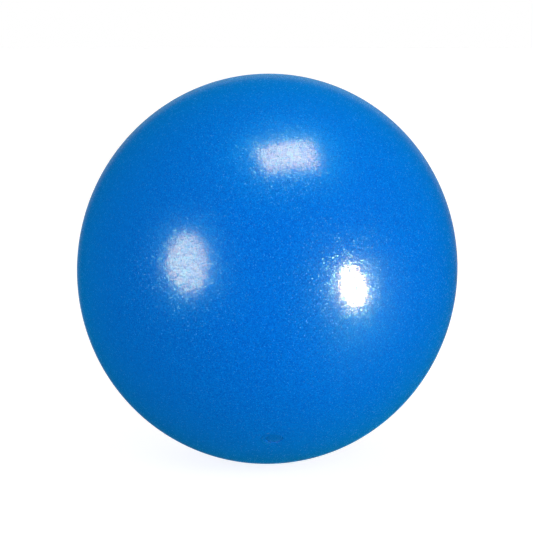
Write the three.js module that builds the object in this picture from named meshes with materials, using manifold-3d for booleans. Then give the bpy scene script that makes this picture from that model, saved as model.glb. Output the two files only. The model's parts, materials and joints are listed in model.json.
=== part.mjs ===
// A soft inflatable exercise ball. A thin seamless vinyl skin holds the air, a valve insert is bonded
// into a thickened boss of that skin, and a push-in plug closes the valve.
// Millimetres, +Z up. The origin is on the floor under the ball's centre, and -Y is the side with the valve.
import * as THREE from "three";
import { mergeVertices } from "three/addons/utils/BufferGeometryUtils.js";
import Module from "manifold-3d";

const wasm = await Module();
wasm.setup();

// Ball
const BALL_WIDTH = 248; // across the equator, inflated
const BALL_HEIGHT = 254.5; // pole to pole, before the ball settles on the floor
const SKIN = 0.7; // wall of the stretched skin
const REST_PATCH_DIAMETER = 32; // where the soft skin lies flat under the ball's weight
const BALL_SIDES = 56;
const BALL_RINGS = 28; // half below the equator, half above it

// Valve
const VALVE_BELOW_HORIZON = 48; // degrees down from the horizon, on the -Y side
const BORE_DIAMETER = 5.6;
const NECK_WALL = 1.8;
const NECK_LENGTH = 11; // below the flange, into the ball
const FLANGE_THICKNESS = 1.4;
const FLANGE_LAP = 4.5; // how far the flange reaches under the boss
const COLLAR_RIM = 2; // flat rim between the dish and the bond line
const DISH_RUN = 0.45; // width of the dish's rounded slope
const BOSS_THICKNESS = 1.6; // extra wall inside the skin, around the valve
const BOSS_MARGIN = 1.5; // boss past the edge of the flange
const BORE_LEAD_IN = 0.6; // chamfer at the mouth of the bore
const BOND_GAP = 0.3; // bond line between the insert and the skin

// Plug
const HEAD_DIAMETER = 9.5;
const HEAD_THICKNESS = 1.5;
const HEAD_DOME = 0.5; // how much of that thickness is the domed top
const HEAD_RECESS = 0.3; // top of the dome below the ball's surface
const HEAD_EDGE = 0.35; // bevel under the head
const NAIL_GAP = 0.3; // flat floor of the dish round the head
const SEAT_GAP = 0.3; // head above the floor of the dish
const BORE_GAP = 0.3; // sealing ribs to the bore, all round
const RIB_COUNT = 3;
const RIB_HEIGHT = 0.3;
const RIB_WIDTH = 1.2;
const RIB_PITCH = 3.2;
const FIRST_RIB_DEPTH = 2.6; // middle of the first rib, below the head
const TIP_PROUD = 1.5; // tip past the inner end of the neck
const TIP_TAPER_LENGTH = 2.2;
const TIP_TAPER = 0.7;
const CORE_DIAMETER = 1.6; // blind hole moulded into the tip
const CORE_DEPTH = 7;

const VALVE_SIDES = 40;
const DOME_STEPS = 4;
const DISH_STEPS = 6;
const CUT_OVERRUN = 4; // how far cutters run past what they cut

// Values worked out from those
const halfWidth = BALL_WIDTH / 2;
const halfHeight = BALL_HEIGHT / 2;
const patchRadius = REST_PATCH_DIAMETER / 2;
const centreHeight = halfHeight * Math.sqrt(1 - (patchRadius / halfWidth) ** 2);
const meanRadius = (halfWidth + halfHeight) / 2;

const boreRadius = BORE_DIAMETER / 2;
const headRadius = HEAD_DIAMETER / 2;
const dishFloorRadius = headRadius + NAIL_GAP;
const dishRadius = dishFloorRadius + DISH_RUN;
const collarRadius = dishRadius + COLLAR_RIM;
const flangeRadius = collarRadius + FLANGE_LAP;
const bossRadius = flangeRadius + BOSS_MARGIN;
const neckRadius = boreRadius + NECK_WALL;

// Heights along the valve's axis, from the ball's surface: 0 there, negative into the ball
const collarTop = -surfaceDrop(collarRadius);
const bossFace = -(surfaceDrop(bossRadius) + SKIN + BOSS_THICKNESS);
const seat = -(HEAD_RECESS + HEAD_THICKNESS + SEAT_GAP);
const flangeTop = bossFace - BOND_GAP;
const flangeUnderside = Math.min(flangeTop, seat) - FLANGE_THICKNESS;
const neckEnd = flangeUnderside - NECK_LENGTH;

// How far the ball's surface falls away from its tangent plane at a radius from the valve's axis.
function surfaceDrop(radius) {
  return meanRadius - Math.sqrt(meanRadius ** 2 - radius ** 2);
}

// A closed body turned about Z. Its profile of [radius, height] points runs with the body on its left.
function turned(profile, sides) {
  const points = profile.map(([radius, height]) => new THREE.Vector2(radius, height));
  return new THREE.LatheGeometry(points, sides).rotateX(Math.PI / 2);
}

// A ring turned about Z, whose profile is closed on itself.
function turnedRing(profile, sides) {
  return turned([...profile, profile[0]], sides);
}

function solidOf(geometry) {
  const bare = geometry.clone();
  bare.deleteAttribute("normal");
  bare.deleteAttribute("uv");
  const merged = mergeVertices(bare);
  return new wasm.Manifold(
    new wasm.Mesh({
      numProp: 3,
      vertProperties: merged.attributes.position.array,
      triVerts: new Uint32Array(merged.index.array),
    }),
  );
}

function geometryOf(solid) {
  const { numProp, vertProperties, triVerts } = solid.getMesh();
  const vertices = new THREE.InterleavedBuffer(vertProperties, numProp);
  const geometry = new THREE.BufferGeometry();
  geometry.setAttribute("position", new THREE.InterleavedBufferAttribute(vertices, 3, 0));
  geometry.setIndex(new THREE.BufferAttribute(triVerts, 1));
  return geometry;
}

// Where the valve sits: on the ball's surface, with local +Z along the outward normal there.
function valvePlace() {
  const below = THREE.MathUtils.degToRad(VALVE_BELOW_HORIZON);
  const normal = new THREE.Vector3(0, -Math.cos(below), -Math.sin(below));
  const reach = Math.hypot(halfWidth * normal.y, halfHeight * normal.z);
  const place = new THREE.Group();
  place.position.set(
    0,
    (halfWidth ** 2 * normal.y) / reach,
    centreHeight + (halfHeight ** 2 * normal.z) / reach,
  );
  place.quaternion.setFromUnitVectors(new THREE.Vector3(0, 0, 1), normal);
  place.updateMatrix();
  return place;
}

// The ball's form as a solid, drawn in by an inset all round, with its rest patch flat.
function ballForm(inset) {
  const across = halfWidth - inset;
  const upright = halfHeight - inset;
  const patchEdge = Math.asin((inset - centreHeight) / upright);
  const profile = [[0, inset]];
  for (let ring = 0; ring < BALL_RINGS; ring++) {
    const share = (2 * ring) / BALL_RINGS - 1;
    const angle = share < 0 ? -share * patchEdge : (share * Math.PI) / 2;
    profile.push([across * Math.cos(angle), centreHeight + upright * Math.sin(angle)]);
  }
  profile.push([0, centreHeight + upright]);
  return turned(profile, BALL_SIDES);
}

// A plain disc about the valve's axis, in the ball's frame.
function valveDisc(radius, bottom, top, place) {
  const profile = [
    [0, bottom],
    [radius, bottom],
    [radius, top],
    [0, top],
  ];
  return turned(profile, VALVE_SIDES).applyMatrix4(place.matrix);
}

// The skin: hollow, thickened to a boss round the valve, with a hole for the insert's collar.
function ballShell(place) {
  const boss = solidOf(valveDisc(bossRadius, bossFace, CUT_OVERRUN, place));
  const hollow = solidOf(ballForm(SKIN)).subtract(boss);
  const hole = valveDisc(collarRadius + BOND_GAP, bossFace - CUT_OVERRUN, CUT_OVERRUN, place);
  return geometryOf(solidOf(ballForm(0)).subtract(hollow).subtract(solidOf(hole)));
}

// The insert: a collar with a rounded dish for the plug's head, a flange behind the boss and a neck.
function valveInsert() {
  const profile = [
    [boreRadius, neckEnd],
    [neckRadius, neckEnd],
    [neckRadius, flangeUnderside],
    [flangeRadius, flangeUnderside],
    [flangeRadius, flangeTop],
    [collarRadius, flangeTop],
    [collarRadius, collarTop],
  ];
  for (let step = 0; step <= DISH_STEPS; step++) {
    const share = 1 - step / DISH_STEPS;
    const rise = (1 - Math.cos(Math.PI * share)) / 2;
    profile.push([dishFloorRadius + DISH_RUN * share, seat + (collarTop - seat) * rise]);
  }
  profile.push([boreRadius + BORE_LEAD_IN, seat]);
  profile.push([boreRadius, seat - BORE_LEAD_IN]);
  return turnedRing(profile, VALVE_SIDES);
}

// The plug: a domed head, a stem with sealing ribs and a tapered tip with a blind core.
function valvePlug() {
  const headBottom = seat + SEAT_GAP;
  const headShoulder = headBottom + HEAD_THICKNESS - HEAD_DOME;
  const ribRadius = boreRadius - BORE_GAP;
  const stemRadius = ribRadius - RIB_HEIGHT;
  const tip = neckEnd - TIP_PROUD;
  const profile = [
    [0, tip + CORE_DEPTH],
    [CORE_DIAMETER / 2, tip + CORE_DEPTH],
    [CORE_DIAMETER / 2, tip],
    [stemRadius - TIP_TAPER, tip],
    [stemRadius, tip + TIP_TAPER_LENGTH],
  ];
  for (let rib = RIB_COUNT - 1; rib >= 0; rib--) {
    const middle = headBottom - FIRST_RIB_DEPTH - rib * RIB_PITCH;
    profile.push([stemRadius, middle - RIB_WIDTH / 2]);
    profile.push([ribRadius, middle]);
    profile.push([stemRadius, middle + RIB_WIDTH / 2]);
  }
  profile.push([stemRadius, headBottom]);
  profile.push([headRadius - HEAD_EDGE, headBottom]);
  profile.push([headRadius, headBottom + HEAD_EDGE]);
  for (let step = 0; step <= DOME_STEPS; step++) {
    const angle = ((step / DOME_STEPS) * Math.PI) / 2;
    profile.push([headRadius * Math.cos(angle), headShoulder + HEAD_DOME * Math.sin(angle)]);
  }
  return turned(profile, VALVE_SIDES);
}

const blueSkin = new THREE.MeshStandardMaterial({ color: 0x0670d8, roughness: 0.42, metalness: 0 });
const blueInsert = new THREE.MeshStandardMaterial({ color: 0x0666c4, roughness: 0.45, metalness: 0 });
const bluePlug = new THREE.MeshStandardMaterial({ color: 0x0560b8, roughness: 0.35, metalness: 0 });

function piece(name, geometry, material) {
  const mesh = new THREE.Mesh(geometry, material);
  mesh.name = name;
  return mesh;
}

const ball = new THREE.Group();
const valve = valvePlace();
valve.add(piece("valve_insert", valveInsert(), blueInsert));
valve.add(piece("valve_plug", valvePlug(), bluePlug));
ball.add(piece("ball_shell", ballShell(valve), blueSkin));
ball.add(valve);

export default ball;
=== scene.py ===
import json
import math

import bpy
import numpy as np
from mathutils import Matrix, Vector


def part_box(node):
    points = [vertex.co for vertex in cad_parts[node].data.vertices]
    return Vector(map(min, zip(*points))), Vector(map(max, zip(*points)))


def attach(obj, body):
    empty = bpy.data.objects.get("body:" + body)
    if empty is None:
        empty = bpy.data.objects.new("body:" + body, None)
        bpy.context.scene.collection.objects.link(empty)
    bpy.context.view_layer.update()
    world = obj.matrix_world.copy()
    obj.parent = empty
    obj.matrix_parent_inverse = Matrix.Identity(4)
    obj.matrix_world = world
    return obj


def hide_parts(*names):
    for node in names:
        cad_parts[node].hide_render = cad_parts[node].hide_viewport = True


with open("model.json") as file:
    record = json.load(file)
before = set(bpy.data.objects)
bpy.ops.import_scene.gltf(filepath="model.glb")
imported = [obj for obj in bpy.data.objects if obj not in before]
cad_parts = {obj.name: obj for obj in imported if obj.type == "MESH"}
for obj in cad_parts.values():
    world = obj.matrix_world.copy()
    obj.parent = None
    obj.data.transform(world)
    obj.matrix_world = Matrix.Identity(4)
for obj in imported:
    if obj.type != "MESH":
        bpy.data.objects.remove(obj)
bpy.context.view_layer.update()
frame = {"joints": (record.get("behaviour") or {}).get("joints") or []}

# A soft inflatable exercise ball: pebbled vinyl skin, valve insert and push-in plug. Metres, +Z up.

MM = 0.001

# Skin
REST_PATCH_DIAMETER = 32 * MM
SKIN = 0.7 * MM
PATCH_SOFTNESS = 0.35 * MM  # how gently the rest patch runs into the round
LEAN = 0.008  # sideways lean of the soft ball, as a share of the height above its start
LEAN_START = 60 * MM
LEAN_SOFTNESS = 30 * MM  # how gently the lean sets in
SKIN_SEGMENTS = 240
OUTER_STEP = math.radians(1.6)  # between rings of the outside
INNER_STEP = math.radians(6)  # between rings of the inside
NEAR_VALVE = 40 * MM  # fine rings out to this distance from the valve's axis
NEAR_STEP = 1 * MM

# Valve, in its own frame: heights are from the ball's surface, and negative into the ball
BORE_RADIUS = 2.8 * MM
BORE_LEAD_IN = 0.6 * MM
NECK_RADIUS = 4.6 * MM
NECK_LENGTH = 11 * MM
DISH_FLOOR_RADIUS = 5.05 * MM
DISH_RADIUS = 5.5 * MM
COLLAR_RADIUS = 7.7 * MM  # almost fills the hole, because the collar is bonded in
HOLE_RADIUS = 7.71 * MM
FLANGE_RADIUS = 12 * MM
FLANGE_THICKNESS = 1.4 * MM
BOSS_RADIUS = 13.5 * MM
BOSS_THICKNESS = 1.6 * MM
BOND_GAP = 0.3 * MM  # between the boss and the flange
LIP_ROUND = 0.03 * MM  # at the bond line, where the skin and the collar are flush
EDGE_ROUND = 0.25 * MM

# Plug
HEAD_RADIUS = 4.75 * MM
HEAD_THICKNESS = 1.5 * MM
HEAD_DOME = 0.5 * MM
HEAD_RECESS = 0.3 * MM
HEAD_EDGE = 0.35 * MM
SEAT_GAP = 0.3 * MM
RIB_RADIUS = 2.5 * MM
RIB_HEIGHT = 0.3 * MM
RIB_WIDTH = 1.2 * MM
RIB_PITCH = 3.2 * MM
RIB_COUNT = 3
FIRST_RIB_DEPTH = 2.6 * MM
TIP_PROUD = 1.5 * MM
TIP_TAPER_LENGTH = 2.2 * MM
TIP_TAPER = 0.7 * MM
CORE_RADIUS = 0.8 * MM
CORE_DEPTH = 7 * MM

VALVE_SEGMENTS = 96
ARC_STEPS = 6
RIM_STEPS = 8
DISH_STEPS = 16
DOME_STEPS = 16

# Vinyl. Each pebble has a random reach, and its slope is that reach times the lean.
SKIN_VINYL = {
    "dark": (0.0006, 0.103, 0.606),
    "light": (0.0010, 0.255, 0.828),
    "roughness": 0.125,
    "specular": 0.5,
    "pebble": 0.5 * MM,
    "lean": 0.03,
}
# The plug's shades are darker than the skin's. Part of that is painted shade of the dish it sits in, on top
# of the shade the dish casts.
PLUG_VINYL_WITH_PAINTED_SHADE = {
    "dark": (0.0006, 0.131, 0.55),
    "light": (0.0010, 0.191, 0.67),
    "roughness": 0.2,
    "specular": 0.25,
    "pebble": 0.4 * MM,
    "lean": 0.02,
}
SHADE_SIZE = 0.6 * MM  # of the spots that are lighter or darker
REACH_POWER = 1.25  # above 1, a few pebbles lean much further than the rest
REACH_ROUGHNESS = 0.35  # share of the roughness that is added for each unit of reach
STEEP_REACH = (0.5, 2.5)  # reflections go from the flat tint to the steep tint over this range
FLAT_TINT = (0.8, 0.52, 0.2)
STEEP_TINT = (0.5, 1.3, 0.82)
GLINT_STRENGTH = (0.1, 1.9)  # from the dullest pebble to the brightest
DIFFUSE_ROUGHNESS = 0.6
SHEEN_WEIGHT = 0.62
SHEEN_ROUGHNESS = 0.5
SHEEN_TINT = (0, 0.37, 0.65)

# Camera
CAMERA_AZIMUTH = math.radians(-3.5)
CAMERA_ELEVATION = math.radians(8)
CAMERA_DISTANCE = 1.5
CAMERA_LENS = 155  # millimetres
AIM_RIGHT = 0.1 * MM  # from the ball's centre to the middle of the picture
AIM_UP = 1.55 * MM

# Light. A lamp's place is to the right of the camera's line and above it. Places and spans are in degrees.
TOP_PLACE = {"right": 22.9, "up": 63.4, "roll": -11, "wide": 27.4, "tall": 17.3}
LEFT_PLACE = {"right": -46.5, "up": 2.8, "roll": 21, "wide": 24.4, "tall": 29.3}
RIGHT_PLACE = {"right": 50.5, "up": -9.5, "roll": 28, "wide": 14.3, "tall": 21.5}
RIGHT_GLOW_PLACE = {"right": 53, "up": -18, "roll": 28, "wide": 15, "tall": 28}
KEY_PLACE = {"right": 42, "up": 8, "roll": 0, "wide": 60, "tall": 60}
LIGHT_DISTANCE = 1.6
GLOW_REACH = 3  # how far a glow goes past its middle, in lengths of its fade
WHITE = (1, 1, 1)

# Floor and backdrop
FLOOR_SIZE = 12
FLOOR_SHADE = 0.35  # the share of the lamps' light that it reflects, which shows the shadow
FLOOR_GLOW = 0.86
STUDIO_DARK = 0.005  # strength of the studio round the object, in reflections
BACKDROP_RIGHT = 178.5  # where reflections show the backdrop brightest, in degrees as for a lamp
BACKDROP_UP = 9
BACKDROP_CORE = math.radians(10)  # it shines in full inside this angle
BACKDROP_REACH = math.radians(28)  # and not at all past this one
BACKDROP_SHINE = 0.25

# Sizes worked out from the frame
shell_low, shell_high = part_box("ball_shell")
half_width = (shell_high.x - shell_low.x) / 2
patch_share = math.sqrt(1 - (REST_PATCH_DIAMETER / 2 / half_width) ** 2)
half_height = shell_high.z / (1 + patch_share)
centre = Vector((0, 0, half_height * patch_share))
mean_radius = (half_width + half_height) / 2

plug_joint = frame["joints"][0]
valve_axis = Vector(plug_joint["axis"]).normalized()
valve_reach = math.hypot(half_width * valve_axis.y, half_height * valve_axis.z)
valve_point = centre + Vector(
    (0, half_width**2 * valve_axis.y / valve_reach, half_height**2 * valve_axis.z / valve_reach)
)
valve_turn = valve_axis.to_track_quat("Z", "Y").to_matrix().to_4x4()
valve_place = Matrix.Translation(valve_point) @ valve_turn


def surface_drop(radius):
    """How far the ball's surface falls away from its tangent plane at a radius from the valve's axis."""
    return mean_radius - math.sqrt(mean_radius**2 - radius**2)


boss_face = -(surface_drop(BOSS_RADIUS) + SKIN + BOSS_THICKNESS)
seat = -(HEAD_RECESS + HEAD_THICKNESS + SEAT_GAP)
flange_top = boss_face - BOND_GAP
flange_underside = min(flange_top, seat) - FLANGE_THICKNESS
neck_end = flange_underside - NECK_LENGTH


# Shapes


def arc(middle, radius, start, end, steps):
    """Points on an arc of a profile, from one angle to another, in degrees."""
    angles = [math.radians(start + (end - start) * step / steps) for step in range(steps + 1)]
    return [(middle[0] + radius * math.cos(a), middle[1] + radius * math.sin(a)) for a in angles]


def rounded(corners):
    """A closed profile from corners of (radius, height, fillet)."""
    profile = []
    for index, (x, y, fillet) in enumerate(corners):
        here = Vector((x, y))
        if not fillet:
            profile.append((x, y))
            continue
        before = (Vector(corners[index - 1][:2]) - here).normalized()
        after = (Vector(corners[(index + 1) % len(corners)][:2]) - here).normalized()
        half = before.angle(after) / 2
        middle = here + (before + after).normalized() * (fillet / math.sin(half))
        first = here + before * (fillet / math.tan(half)) - middle
        last = here + after * (fillet / math.tan(half)) - middle
        for step in range(ARC_STEPS + 1):
            blend = first.slerp(last, step / ARC_STEPS)
            profile.append(tuple(middle + blend.normalized() * fillet))
    return profile


def mesh_object(name, points, faces):
    """A smooth object in the scene from points and faces."""
    mesh = bpy.data.meshes.new(name)
    mesh.from_pydata([tuple(p) for p in points], [], faces)
    mesh.validate()
    for polygon in mesh.polygons:
        polygon.use_smooth = True
    piece = bpy.data.objects.new(name, mesh)
    bpy.context.scene.collection.objects.link(piece)
    return piece


def ring_faces(rings, segments, closed):
    """Quads between rings of vertices that follow each other, and back to the first ring if closed."""
    faces = []
    for ring in range(rings if closed else rings - 1):
        low = ring * segments
        high = ((ring + 1) % rings) * segments
        for side in range(segments):
            beside = (side + 1) % segments
            faces.append((low + side, low + beside, high + beside, high + side))
    return faces


def pole_faces(rings, segments):
    """Triangles from the first and the last ring to two poles, whose vertices follow those of the rings."""
    faces = []
    first_pole = rings * segments
    last_ring = first_pole - segments
    for side in range(segments):
        beside = (side + 1) % segments
        faces.append((first_pole, beside, side))
        faces.append((first_pole + 1, last_ring + side, last_ring + beside))
    return faces


def valve_ring(radius, height, segments):
    """A ring of points about the valve's axis."""
    turns = [2 * math.pi * side / segments for side in range(segments)]
    return [valve_place @ Vector((radius * math.cos(t), radius * math.sin(t), height)) for t in turns]


def turned(name, profile):
    """A body turned about the valve's axis. A profile that starts and ends on the axis gets end caps."""
    capped = profile[0][0] == 0
    rings = profile[1:-1] if capped else profile
    points = []
    for radius, height in rings:
        points += valve_ring(radius, height, VALVE_SEGMENTS)
    faces = ring_faces(len(rings), VALVE_SEGMENTS, not capped)
    if capped:
        points += [valve_place @ Vector((0, 0, height)) for _, height in (profile[0], profile[-1])]
        faces += pole_faces(len(rings), VALVE_SEGMENTS)
    piece = mesh_object(name, points, faces)
    piece.modifiers.new("even_shading", "WEIGHTED_NORMAL")
    return piece


def soft_max(value, floor, softness):
    """The larger of a value and a floor, with a smooth change from one to the other."""
    return floor + (value - floor + np.sqrt((value - floor) ** 2 + softness**2)) / 2


def skin_ring(theta, inset):
    """A ring of skin points at an angle from the valve's axis, drawn in by an inset."""
    turn = 2 * np.pi * np.arange(SKIN_SEGMENTS) / SKIN_SEGMENTS
    axes = np.array(valve_turn.to_3x3())
    local = np.stack(
        [np.sin(theta) * np.cos(turn), np.sin(theta) * np.sin(turn), np.full_like(turn, np.cos(theta))]
    )
    directions = (axes @ local).T
    start = np.array(valve_point - valve_axis * (valve_point - centre).dot(valve_axis))

    # How far along its direction each point lies is the root of a quadratic for the inset ellipsoid
    semi_axes = np.array([half_width, half_width, half_height]) - inset
    scaled_start = (start - np.array(centre)) / semi_axes
    scaled = directions / semi_axes
    a = (scaled**2).sum(1)
    b = scaled @ scaled_start
    c = scaled_start @ scaled_start - 1
    reach = (-b + np.sqrt(b**2 - a * c)) / a

    points = start + directions * reach[:, None]
    points[:, 2] = soft_max(points[:, 2], inset, PATCH_SOFTNESS)
    points[:, 0] += LEAN * soft_max(points[:, 2] - LEAN_START, 0, LEAN_SOFTNESS)
    return points


def skin_angles(start_radius, step):
    """Angles from the valve's axis for the skin's rings: close together near the valve, then even."""
    near = np.arcsin(np.arange(start_radius, NEAR_VALVE, NEAR_STEP) / mean_radius)
    count = int((math.pi - near[-1]) / step)
    far = np.linspace(near[-1], math.pi, count + 1)[1:-1]
    return [*near, *far]


def ball_skin():
    """The skin as one closed shell: outside, lip of the valve hole, boss and inside."""
    lip_middle = (HOLE_RADIUS + LIP_ROUND, -surface_drop(HOLE_RADIUS + LIP_ROUND) - LIP_ROUND)
    lip = arc(lip_middle, LIP_ROUND, 90, 180, ARC_STEPS)[1:]
    edges = [*lip, (HOLE_RADIUS, boss_face), (BOSS_RADIUS, boss_face)]
    rings = [skin_ring(theta, 0) for theta in reversed(skin_angles(lip_middle[0], OUTER_STEP))]
    rings += [np.array(valve_ring(radius, height, SKIN_SEGMENTS)) for radius, height in edges]
    rings += [skin_ring(theta, SKIN) for theta in skin_angles(BOSS_RADIUS, INNER_STEP)]
    poles = [skin_ring(math.pi, 0)[:1], skin_ring(math.pi, SKIN)[:1]]
    faces = ring_faces(len(rings), SKIN_SEGMENTS, False) + pole_faces(len(rings), SKIN_SEGMENTS)
    return mesh_object("ball_skin", np.concatenate(rings + poles), faces)


def valve_collar():
    """The valve insert: dished collar, flange behind the boss and neck."""
    corners = [
        (BORE_RADIUS, neck_end, EDGE_ROUND),
        (NECK_RADIUS, neck_end, EDGE_ROUND),
        (NECK_RADIUS, flange_underside, EDGE_ROUND),
        (FLANGE_RADIUS, flange_underside, EDGE_ROUND),
        (FLANGE_RADIUS, flange_top, EDGE_ROUND),
        (COLLAR_RADIUS, flange_top, EDGE_ROUND),
        (COLLAR_RADIUS, -surface_drop(COLLAR_RADIUS), LIP_ROUND),
    ]
    for step in range(1, RIM_STEPS):
        across = COLLAR_RADIUS + (DISH_RADIUS - COLLAR_RADIUS) * step / RIM_STEPS
        corners.append((across, -surface_drop(across), 0))
    for step in range(DISH_STEPS + 1):
        share = 1 - step / DISH_STEPS
        rise = (1 - math.cos(math.pi * share)) / 2
        across = DISH_FLOOR_RADIUS + (DISH_RADIUS - DISH_FLOOR_RADIUS) * share
        corners.append((across, seat + (-surface_drop(DISH_RADIUS) - seat) * rise, 0))
    corners.append((BORE_RADIUS + BORE_LEAD_IN, seat, EDGE_ROUND))
    corners.append((BORE_RADIUS, seat - BORE_LEAD_IN, EDGE_ROUND))
    return turned("valve_collar", rounded(corners))


def valve_stopper():
    """The plug: domed head, ribbed stem and cored tip."""
    head_bottom = seat + SEAT_GAP
    head_shoulder = head_bottom + HEAD_THICKNESS - HEAD_DOME
    stem_radius = RIB_RADIUS - RIB_HEIGHT
    tip = neck_end - TIP_PROUD
    profile = [
        (0, tip + CORE_DEPTH),
        (CORE_RADIUS, tip + CORE_DEPTH),
        (CORE_RADIUS, tip),
        (stem_radius - TIP_TAPER, tip),
        (stem_radius, tip + TIP_TAPER_LENGTH),
    ]
    for rib in reversed(range(RIB_COUNT)):
        middle = head_bottom - FIRST_RIB_DEPTH - rib * RIB_PITCH
        for step in range(2 * ARC_STEPS + 1):
            share = step / ARC_STEPS - 1
            swell = RIB_HEIGHT * math.cos(share * math.pi / 2) ** 2
            profile.append((stem_radius + swell, middle + share * RIB_WIDTH / 2))
    profile.append((stem_radius, head_bottom))
    profile += arc((HEAD_RADIUS - HEAD_EDGE, head_bottom + HEAD_EDGE), HEAD_EDGE, -90, 0, ARC_STEPS)
    for step in range(DOME_STEPS):
        turn = step / DOME_STEPS * math.pi / 2
        profile.append((HEAD_RADIUS * math.cos(turn), head_shoulder + HEAD_DOME * math.sin(turn)))
    profile.append((0, head_shoulder + HEAD_DOME))
    return turned("valve_stopper", profile)


# Shader nodes


def feed(tree, node, values):
    """Links a node's inputs to sockets, or sets them to fixed values."""
    for socket, value in zip(node.inputs, values):
        if isinstance(value, bpy.types.NodeSocket):
            tree.links.new(value, socket)
        else:
            socket.default_value = value


def maths(tree, operation, *values):
    """A calculation on sockets and fixed numbers, and its output."""
    node = tree.nodes.new("ShaderNodeMath")
    node.operation = operation
    feed(tree, node, values)
    return node.outputs["Value"]


def vector_math(tree, operation, *values):
    """A vector calculation on sockets and fixed vectors, and its output."""
    node = tree.nodes.new("ShaderNodeVectorMath")
    node.operation = operation
    feed(tree, node, values)
    return node.outputs["Value" if operation == "DOT_PRODUCT" else "Vector"]


def map_range(tree, value, old, new, interpolation="LINEAR"):
    """A value carried over from one range to another, and held at its ends."""
    node = tree.nodes.new("ShaderNodeMapRange")
    node.interpolation_type = interpolation
    for name, number in zip(("From Min", "From Max", "To Min", "To Max"), (*old, *new)):
        node.inputs[name].default_value = number
    tree.links.new(value, node.inputs["Value"])
    return node.outputs["Result"]


def two_colours(tree, factor, first, second):
    """One colour where a factor is 0, and another where it is 1."""
    mix = tree.nodes.new("ShaderNodeMix")
    mix.data_type = "RGBA"
    mix.inputs["A"].default_value = (*first, 1)
    mix.inputs["B"].default_value = (*second, 1)
    tree.links.new(factor, mix.inputs["Factor"])
    return mix.outputs["Result"]


def two_shaders(tree, factor, first, second):
    """One shader where a factor is 0, and another where it is 1."""
    mix = tree.nodes.new("ShaderNodeMixShader")
    tree.links.new(factor, mix.inputs["Fac"])
    tree.links.new(first.outputs[0], mix.inputs[1])
    tree.links.new(second.outputs[0], mix.inputs[2])
    return mix


# Vinyl


def random_cells(tree, place, size):
    """A random colour for each cell of a surface split into cells of about one size."""
    cells = tree.nodes.new("ShaderNodeTexVoronoi")
    cells.inputs["Scale"].default_value = 1 / size
    tree.links.new(place, cells.inputs["Vector"])
    return cells.outputs["Color"]


def pebble_reach(tree, pebbles):
    """How far each pebble leans, in no unit yet: most lean a little, and a few lean far."""
    chance = tree.nodes.new("ShaderNodeTexWhiteNoise")
    tree.links.new(pebbles, chance.inputs["Vector"])
    rarity = maths(tree, "LOGARITHM", chance.outputs["Value"], math.e)
    return maths(tree, "POWER", maths(tree, "MULTIPLY", rarity, -1), REACH_POWER)


def leaning_normal(tree, pebbles, reach, lean):
    """The normal of a pebble that leans its own way along the surface."""
    surface = tree.nodes.new("ShaderNodeNewGeometry").outputs["Normal"]
    way = vector_math(tree, "MULTIPLY_ADD", pebbles, (2, 2, 2), (-1, -1, -1))
    along = vector_math(tree, "NORMALIZE", vector_math(tree, "CROSS_PRODUCT", way, surface))
    slope = maths(tree, "MULTIPLY", reach, lean)
    return vector_math(tree, "NORMALIZE", vector_math(tree, "MULTIPLY_ADD", along, slope, surface))


def pebbled_vinyl(name, dark, light, roughness, specular, pebble, lean):
    """Satin moulded vinyl in spots of two shades. Each pebble of its grain has its own lean and gloss."""
    material = bpy.data.materials.new(name)
    material.use_nodes = True
    tree = material.node_tree
    inputs = tree.nodes["Principled BSDF"].inputs
    inputs["Diffuse Roughness"].default_value = DIFFUSE_ROUGHNESS
    inputs["Specular IOR Level"].default_value = specular
    inputs["Sheen Weight"].default_value = SHEEN_WEIGHT
    inputs["Sheen Roughness"].default_value = SHEEN_ROUGHNESS
    inputs["Sheen Tint"].default_value = (*SHEEN_TINT, 1)

    place = tree.nodes.new("ShaderNodeTexCoord").outputs["Object"]
    pebbles = random_cells(tree, place, pebble)
    reach = pebble_reach(tree, pebbles)
    tree.links.new(leaning_normal(tree, pebbles, reach, lean), inputs["Normal"])
    spots = random_cells(tree, place, SHADE_SIZE)
    tree.links.new(two_colours(tree, spots, dark, light), inputs["Base Color"])
    uneven = maths(tree, "MULTIPLY_ADD", reach, roughness * REACH_ROUGHNESS, roughness)
    tree.links.new(uneven, inputs["Roughness"])

    steep = map_range(tree, reach, STEEP_REACH, (0, 1))
    tint = two_colours(tree, steep, FLAT_TINT, STEEP_TINT)
    split = tree.nodes.new("ShaderNodeSeparateColor")
    tree.links.new(pebbles, split.inputs["Color"])
    strength = map_range(tree, split.outputs["Green"], (0, 1), GLINT_STRENGTH)
    tree.links.new(vector_math(tree, "MULTIPLY", tint, strength), inputs["Specular Tint"])
    return material


# The ball's pieces


def dress(piece, material, body, node):
    """Gives a piece its material and its place in the frame."""
    piece.data.materials.append(material)
    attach(piece, body)
    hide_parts(node)


dress(ball_skin(), pebbled_vinyl("blue_vinyl_skin", **SKIN_VINYL), "ball", "ball_shell")
dress(valve_collar(), pebbled_vinyl("blue_valve_vinyl", **SKIN_VINYL), "ball", "valve_insert")
# The plug's darker shades include painted shade of its dish.
dress(valve_stopper(), pebbled_vinyl("blue_plug_plastic", **PLUG_VINYL_WITH_PAINTED_SHADE), "plug", "valve_plug")


# Camera


def add_camera():
    """Adds the camera, and gives its directions to the right, up and back."""
    data = bpy.data.cameras.new("camera")
    data.lens = CAMERA_LENS
    camera = bpy.data.objects.new("camera", data)
    bpy.context.scene.collection.objects.link(camera)
    level = math.cos(CAMERA_ELEVATION)
    back = Vector(
        (
            math.sin(CAMERA_AZIMUTH) * level,
            -math.cos(CAMERA_AZIMUTH) * level,
            math.sin(CAMERA_ELEVATION),
        )
    )
    right = Vector((0, 0, 1)).cross(back).normalized()
    up = back.cross(right)
    target = centre + right * AIM_RIGHT + up * AIM_UP
    camera.location = target + back * CAMERA_DISTANCE
    camera.rotation_euler = (target - camera.location).to_track_quat("-Z", "Y").to_euler()
    bpy.context.scene.camera = camera
    return right, up, back


view_right, view_up, view_back = add_camera()


# Light


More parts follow.
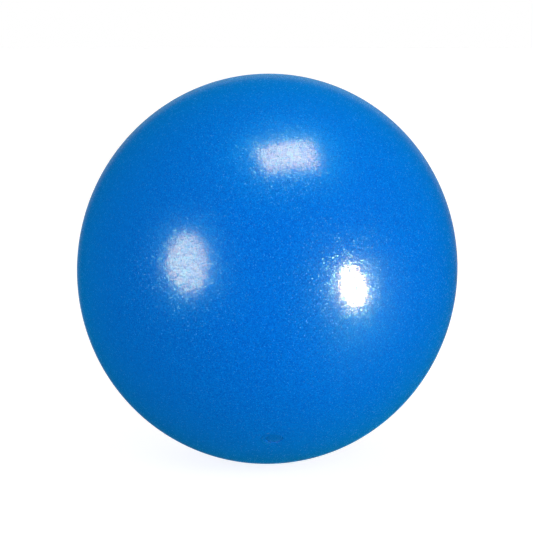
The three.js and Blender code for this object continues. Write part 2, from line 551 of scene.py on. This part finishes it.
def toward(right, up):
    """The direction at angles to the right of the camera's line and above it, in degrees."""
    across, above = math.radians(right), math.radians(up)
    level = view_back * math.cos(across) + view_right * math.sin(across)
    return level * math.cos(above) + view_up * math.sin(above)


def area_light(name, right, up, roll, wide, tall, level, colour, shape="ELLIPSE"):
    """A flat lamp at angles from the camera's line that spans an angle each way, all in degrees."""
    direction = toward(right, up)
    data = bpy.data.lights.new(name, "AREA")
    data.shape = shape
    data.size = 2 * LIGHT_DISTANCE * math.tan(math.radians(wide) / 2)
    data.size_y = 2 * LIGHT_DISTANCE * math.tan(math.radians(tall) / 2)
    area = data.size * data.size_y * (math.pi / 4 if shape == "ELLIPSE" else 1)
    data.energy = level * math.pi * area
    data.color = colour
    lamp = bpy.data.objects.new(name, data)
    bpy.context.scene.collection.objects.link(lamp)
    facing = (-direction).to_track_quat("-Z", "Y").to_matrix().to_4x4()
    turn = Matrix.Rotation(math.radians(roll), 4, "Z")
    lamp.matrix_world = Matrix.Translation(centre + direction * LIGHT_DISTANCE) @ facing @ turn
    lamp.visible_camera = False
    return lamp


def fade_out(lamp, wide, tall, fade):
    """Makes a lamp fade with the angle past a middle of a given size, all in degrees."""
    lamp.data.use_nodes = True
    tree = lamp.data.node_tree
    position = tree.nodes.new("ShaderNodeNewGeometry").outputs["Position"]
    offset = vector_math(tree, "SUBTRACT", position, lamp.matrix_world.translation)
    squares = []
    for axis, size in enumerate((wide, tall)):
        along = vector_math(tree, "DOT_PRODUCT", offset, lamp.matrix_world.col[axis][:3])
        slope = maths(tree, "DIVIDE", along, LIGHT_DISTANCE)
        angle = maths(tree, "DEGREES", maths(tree, "ARCTANGENT", slope))
        outward = maths(tree, "SUBTRACT", maths(tree, "ABSOLUTE", angle), size / 2)
        past = maths(tree, "MAXIMUM", outward, 0)
        squares.append(maths(tree, "MULTIPLY", past, past))
    distance = maths(tree, "SQRT", maths(tree, "ADD", *squares))
    strength = maths(tree, "EXPONENT", maths(tree, "DIVIDE", distance, -fade))
    tree.links.new(strength, tree.nodes["Emission"].inputs["Strength"])


def softbox(name, right, up, roll, wide, tall, level, colour, shape="ELLIPSE"):
    """A lamp that shows as a highlight."""
    lamp = area_light(name, right, up, roll, wide, tall, level, colour, shape)
    lamp.visible_diffuse = False
    return lamp


def glow(name, right, up, roll, wide, tall, level, colour, fade):
    """The soft glow around a softbox."""
    reach = 2 * GLOW_REACH * fade
    lamp = softbox(name, right, up, roll, wide + reach, tall + reach, level, colour)
    fade_out(lamp, wide, tall, fade)


def surface_light(lamp):
    """Makes a lamp light surfaces only, so that no reflection shows it."""
    lamp.visible_glossy = False
    lamp.data.cycles.use_multiple_importance_sampling = False


def half_sky(name, right, up, level):
    """Even soft light from the half of all directions round one direction."""
    data = bpy.data.lights.new(name, "SUN")
    data.angle = math.pi
    data.energy = level * math.pi
    lamp = bpy.data.objects.new(name, data)
    bpy.context.scene.collection.objects.link(lamp)
    lamp.rotation_euler = (-toward(right, up)).to_track_quat("-Z", "Y").to_euler()
    surface_light(lamp)


softbox("top_box", **TOP_PLACE, level=19.6, colour=(0.95, 1, 0.8), shape="RECTANGLE")
softbox("left_box", **LEFT_PLACE, level=20.8, colour=(0.84, 1, 0.93))
softbox("right_box", **RIGHT_PLACE, level=105, colour=(1, 0.93, 0.75))
glow("top_glow", **TOP_PLACE, level=5.6, colour=(0, 0.75, 1), fade=8)
glow("left_glow", **LEFT_PLACE, level=2.8, colour=(0, 0.79, 1), fade=5)
glow("right_glow", **RIGHT_GLOW_PLACE, level=2.7, colour=(0.13, 1, 0.74), fade=11)
surface_light(area_light("key", **KEY_PLACE, level=2.92, colour=WHITE))
half_sky("sky", right=0, up=82, level=0.22)
half_sky("floor_light", right=0, up=-38, level=0.09)
half_sky("left_light", right=-90, up=-8, level=0.57)


# Floor and backdrop


def add_floor():
    """A pale floor that keeps the object's shadow. Only the camera sees it, and only from above."""
    half = FLOOR_SIZE / 2
    corners = [(-half, -half, 0), (half, -half, 0), (half, half, 0), (-half, half, 0)]
    floor = mesh_object("floor", corners, [(0, 1, 2, 3)])
    material = bpy.data.materials.new("pale_floor")
    material.use_nodes = True
    tree = material.node_tree
    tree.nodes.clear()
    matt = tree.nodes.new("ShaderNodeBsdfDiffuse")
    matt.inputs["Color"].default_value = (FLOOR_SHADE, FLOOR_SHADE, FLOOR_SHADE, 1)
    shine = tree.nodes.new("ShaderNodeEmission")
    shine.inputs["Strength"].default_value = FLOOR_GLOW
    pale = tree.nodes.new("ShaderNodeAddShader")
    tree.links.new(matt.outputs[0], pale.inputs[0])
    tree.links.new(shine.outputs[0], pale.inputs[1])
    from_below = tree.nodes.new("ShaderNodeNewGeometry").outputs["Backfacing"]
    clear = tree.nodes.new("ShaderNodeBsdfTransparent")
    seen = two_shaders(tree, from_below, pale, clear)
    output = tree.nodes.new("ShaderNodeOutputMaterial")
    tree.links.new(seen.outputs[0], output.inputs["Surface"])
    floor.data.materials.append(material)
    floor.visible_glossy = False
    floor.visible_diffuse = False
    floor.visible_shadow = False


def white_background(tree, level):
    """A white background shader of a given strength."""
    shade = tree.nodes.new("ShaderNodeBackground")
    shade.inputs["Color"].default_value = (*WHITE, 1)
    shade.inputs["Strength"].default_value = level
    return shade


def add_world():
    """White to the camera, and in reflections a dim studio with that backdrop. It lights no surface."""
    world = bpy.data.worlds.new("studio")
    bpy.context.scene.world = world
    world.use_nodes = True
    world.cycles.sampling_method = "NONE"
    tree = world.node_tree
    tree.nodes.clear()
    white = white_background(tree, 1)
    unlit = white_background(tree, 0)
    dim = white_background(tree, STUDIO_DARK)

    direction = tree.nodes.new("ShaderNodeTexCoord").outputs["Generated"]
    facing = vector_math(tree, "DOT_PRODUCT", direction, toward(BACKDROP_RIGHT, BACKDROP_UP))
    edges = (math.cos(BACKDROP_REACH), math.cos(BACKDROP_CORE))
    backdrop = map_range(tree, facing, edges, (0, BACKDROP_SHINE), "SMOOTHSTEP")
    reflected = two_shaders(tree, backdrop, dim, white)

    path = tree.nodes.new("ShaderNodeLightPath").outputs
    lit = two_shaders(tree, path["Is Glossy Ray"], unlit, reflected)
    through = two_shaders(tree, path["Is Transmission Ray"], lit, white)
    seen = two_shaders(tree, path["Is Camera Ray"], through, white)
    output = tree.nodes.new("ShaderNodeOutputWorld")
    tree.links.new(seen.outputs[0], output.inputs["Surface"])


add_floor()
add_world()
bpy.context.scene.view_settings.view_transform = "Standard"
